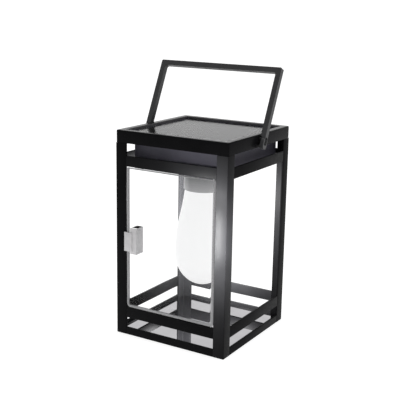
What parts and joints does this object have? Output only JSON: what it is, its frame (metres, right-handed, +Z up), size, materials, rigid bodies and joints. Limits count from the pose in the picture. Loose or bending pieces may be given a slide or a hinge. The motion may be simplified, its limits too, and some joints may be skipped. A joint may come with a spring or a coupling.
{
  "type": "solar lantern",
  "caption": "Square open-frame solar lantern with a solar panel lid, a frosted hanging bulb, a mirror plate, a clear swinging front door and a bail handle.",
  "frame": {"origin": "middle of the square footprint, on the surface the lantern stands on", "axes": "+Z up, -Y towards the door, +X to the right seen from the door side"},
  "size_m": [0.1648, 0.1519, 0.3236],
  "materials": {
    "frame_paint": "satin black powder coat",
    "lid_paint": "satin black powder coat",
    "mirror": "bright polished",
    "panel_board": "matt",
    "solar_cell": "dark silicon, glossy",
    "panel_glass": "clear cover",
    "seal": "matt",
    "housing_plastic": "satin dark plastic",
    "screw": "zinc plated",
    "black_screw": "blackened steel",
    "holder_plastic": "matt",
    "cell_wrap": "shrink sleeve",
    "contact": "nickel plated",
    "board": "green circuit board",
    "electronic": "moulded",
    "lead": "insulated wire",
    "switch": "moulded",
    "collar": "grey, glossy",
    "socket": "white moulded",
    "bulb_cap": "white moulded",
    "led_board": "white board",
    "led": "yellow phosphor",
    "frosted_bulb": "frosted white, lit",
    "pane": "clear, frosted border",
    "clear_catch": "clear moulded",
    "pin": "steel",
    "bail_paint": "satin black powder coat"
  },
  "bodies": {
    "frame": {"base_screws": "screw", "battery_cell": "cell_wrap", "battery_contacts": "contact", "battery_holder": "holder_plastic", "battery_spring": "contact", "board_components": "electronic", "board_standoffs": "holder_plastic", "bulb_cap": "bulb_cap", "bulb_globe": "frosted_bulb", "circuit_board": "board", "foot_rail_back": "frame_paint", "foot_rail_front": "frame_paint", "foot_rail_left": "frame_paint", "foot_rail_right": "frame_paint", "holder_nut": "socket", "housing": "housing_plastic", "housing_base": "housing_plastic", "housing_screws": "black_screw", "lamp_collar": "collar", "lamp_holder": "socket", "lamp_leads": "lead", "led_board": "led_board", "led_chips": "led", "lid": "lid_paint", "middle_rail_back": "frame_paint", "middle_rail_front": "frame_paint", "middle_rail_left": "frame_paint", "middle_rail_right": "frame_paint", "mirror_plate": "mirror", "panel_board": "panel_board", "panel_glass": "panel_glass", "panel_leads": "lead", "panel_seal": "seal", "pivot_nuts": "screw", "pivot_screws": "black_screw", "pivot_spacers": "black_screw", "post_back_left": "frame_paint", "post_back_right": "frame_paint", "post_front_left": "frame_paint", "post_front_right": "frame_paint", "solar_cells": "solar_cell", "switch_body": "switch", "top_rail_back": "frame_paint", "top_rail_front": "frame_paint", "top_rail_left": "frame_paint", "top_rail_right": "frame_paint", "door_pins": "pin"},
    "bail": {"bail": "bail_paint"},
    "door": {"door_pane": "pane", "door_catch": "clear_catch"},
    "switch_knob": {"switch_knob": "switch"}
  },
  "joints": [
    {"name": "bail_hinge", "type": "hinge", "parent": "frame", "child": "bail", "pos_m": [0, -0.0025, 0.2422], "axis": [1, 0, 0], "range_deg": [-74, 132]},
    {"name": "door_hinge", "type": "hinge", "parent": "frame", "child": "door", "pos_m": [0.0569, -0.07375, 0.12], "axis": [0, 0, 1], "range_deg": [0, 120]},
    {"name": "switch_slide", "type": "slide", "parent": "frame", "child": "switch_knob", "axis": [1, 0, 0], "range_m": [0, 0.004]}
  ]
}
